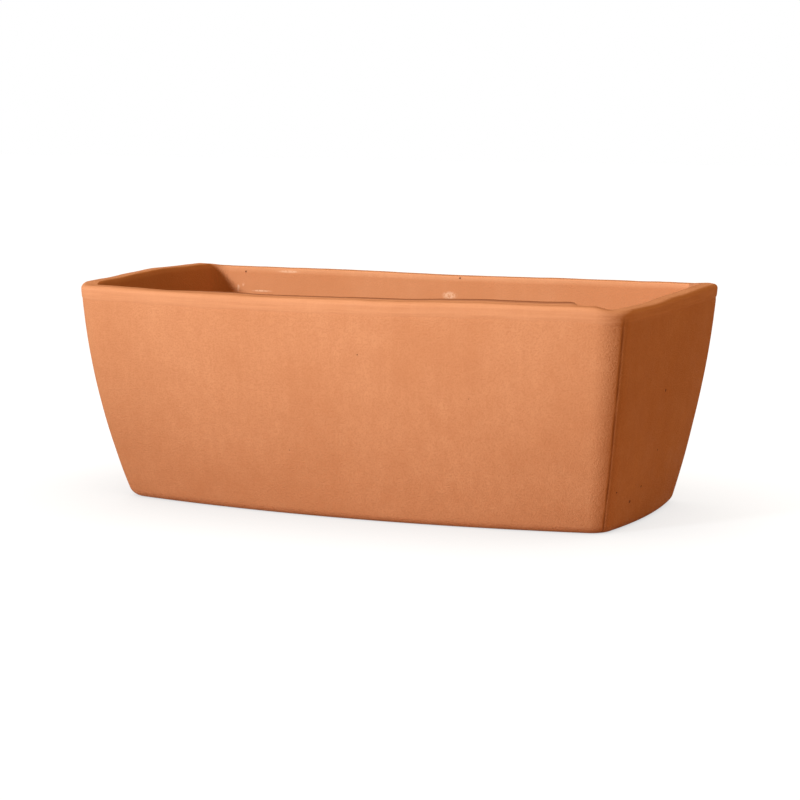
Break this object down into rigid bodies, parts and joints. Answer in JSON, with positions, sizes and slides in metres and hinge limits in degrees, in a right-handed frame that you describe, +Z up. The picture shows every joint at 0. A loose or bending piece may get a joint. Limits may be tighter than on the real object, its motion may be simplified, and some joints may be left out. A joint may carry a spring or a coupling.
{
  "type": "self watering planter",
  "caption": "Bowed terracotta trough with a lift-out water reservoir, soil platform, wick baskets, filler with a flap, float gauge and overflow.",
  "frame": {"origin": "middle of the overall box, on the ground under the trough", "axes": "+Z up, +X along the trough to the gauge end, the bowed front faces -Y"},
  "size_m": [0.5112, 0.2715, 0.187],
  "materials": {
    "terracotta": "unglazed, matt",
    "tray_plastic": "matt, moulded",
    "platform_plastic": "matt, moulded",
    "tube_plastic": "satin, extruded",
    "flap_plastic": "satin, moulded",
    "pin_steel": "drawn wire",
    "float_foam": "closed-cell foam",
    "rod_plastic": "satin",
    "indicator_plastic": "gloss",
    "clear_plastic": "clear, moulded",
    "overflow_plastic": "satin, moulded",
    "gasket_rubber": "matt"
  },
  "bodies": {
    "planter": {"planter_body": "terracotta"},
    "tray": {"reservoir_tray": "tray_plastic", "overflow_pipe": "overflow_plastic", "overflow_gasket": "gasket_rubber", "overflow_nut": "overflow_plastic", "overflow_strainer": "overflow_plastic"},
    "platform": {"soil_platform": "platform_plastic", "wick_basket_left": "platform_plastic", "wick_basket_right": "platform_plastic", "platform_leg_1": "platform_plastic", "platform_leg_2": "platform_plastic", "platform_leg_3": "platform_plastic", "platform_leg_4": "platform_plastic", "platform_leg_5": "platform_plastic", "platform_leg_6": "platform_plastic", "fill_tube": "tube_plastic", "fill_funnel": "tube_plastic", "fill_cap_pin": "pin_steel", "gauge_tube": "tube_plastic", "gauge_window": "clear_plastic"},
    "flap": {"fill_cap": "flap_plastic"},
    "float": {"gauge_float": "float_foam", "gauge_rod": "rod_plastic", "gauge_disc": "indicator_plastic"}
  },
  "joints": [
    {"name": "tray_lift", "type": "slide", "parent": "planter", "child": "tray", "axis": [0, 0, 1], "range_m": [0, 0.2]},
    {"name": "platform_lift", "type": "slide", "parent": "tray", "child": "platform", "axis": [0, 0, 1], "range_m": [0, 0.2]},
    {"name": "flap_hinge", "type": "hinge", "parent": "platform", "child": "flap", "pos_m": [-0.18515, -0.03248, 0.17], "axis": [-1, 0, 0], "range_deg": [0, 110]},
    {"name": "float_slide", "type": "slide", "parent": "platform", "child": "float", "axis": [0, 0, 1], "range_m": [0, 0.036]}
  ]
}
